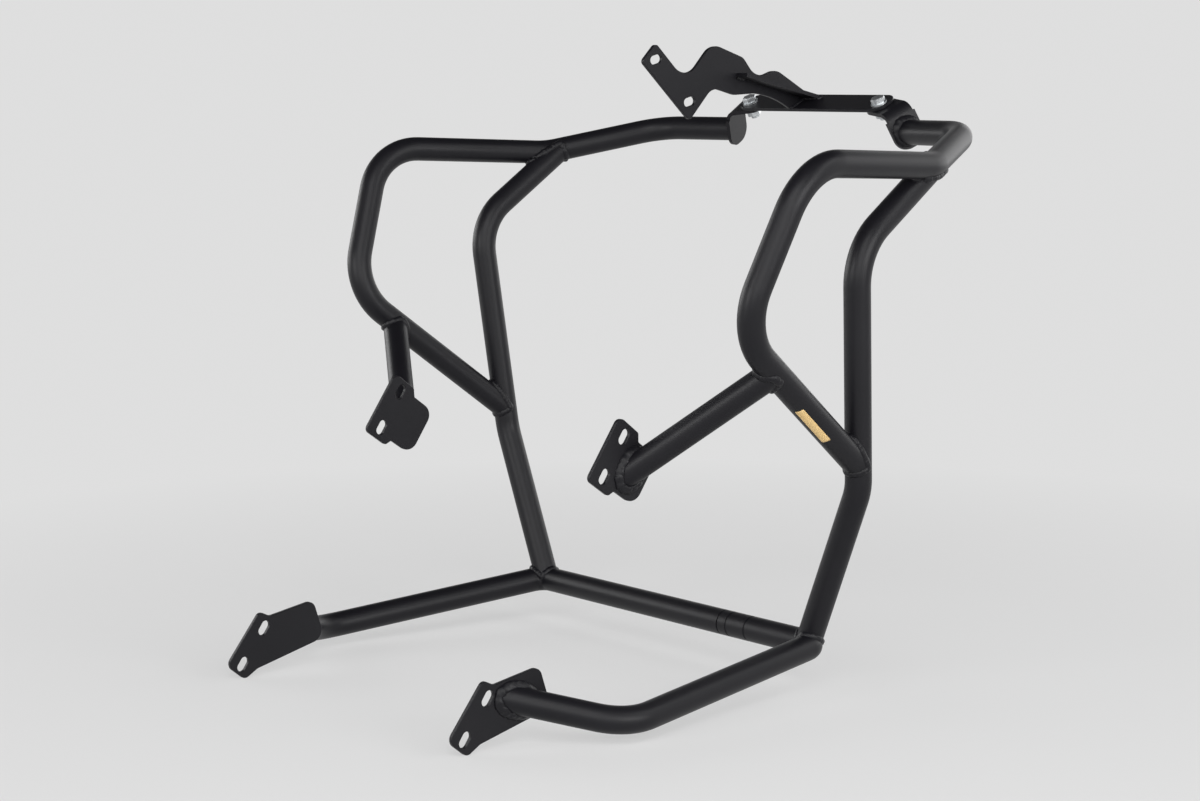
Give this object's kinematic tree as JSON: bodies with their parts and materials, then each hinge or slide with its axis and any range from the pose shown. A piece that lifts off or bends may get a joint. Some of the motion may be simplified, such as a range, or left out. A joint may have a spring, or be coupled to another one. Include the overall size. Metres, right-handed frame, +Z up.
{
  "type": "motorcycle crash bars",
  "caption": "Bent tube crash guard for a motorcycle: side hoops, down tubes and lower rails joined by a front crossbar, with slotted mounting plates and a bolted top bridge.",
  "frame": {"origin": "middle of the front crossbar, on its axis", "axes": "+X to the vehicle's right along the crossbar, +Y forward, +Z up, as fitted"},
  "size_m": [0.6674, 0.6379, 0.6173],
  "materials": {
    "powder_coat": "satin black powder coat",
    "zinc": "bright zinc plate",
    "bare_steel": "turned steel, oiled"
  },
  "bodies": {
    "root": {"right_hoop_tube": "powder_coat", "right_down_tube": "powder_coat", "right_lower_rail": "powder_coat", "right_mid_stub": "powder_coat", "right_lower_plate": "powder_coat", "right_mid_plate": "powder_coat", "right_top_tab": "powder_coat", "left_hoop_tube": "powder_coat", "left_down_tube": "powder_coat", "left_lower_rail": "powder_coat", "left_mid_stub": "powder_coat", "left_lower_plate": "powder_coat", "left_mid_plate": "powder_coat", "left_top_tab": "powder_coat", "bridge_bar": "powder_coat", "upright_plate": "powder_coat", "bridge_gusset": "powder_coat", "bridge_bolts": "zinc", "bridge_nuts": "zinc", "joint_spigot": "bare_steel"}
  },
  "joints": []
}
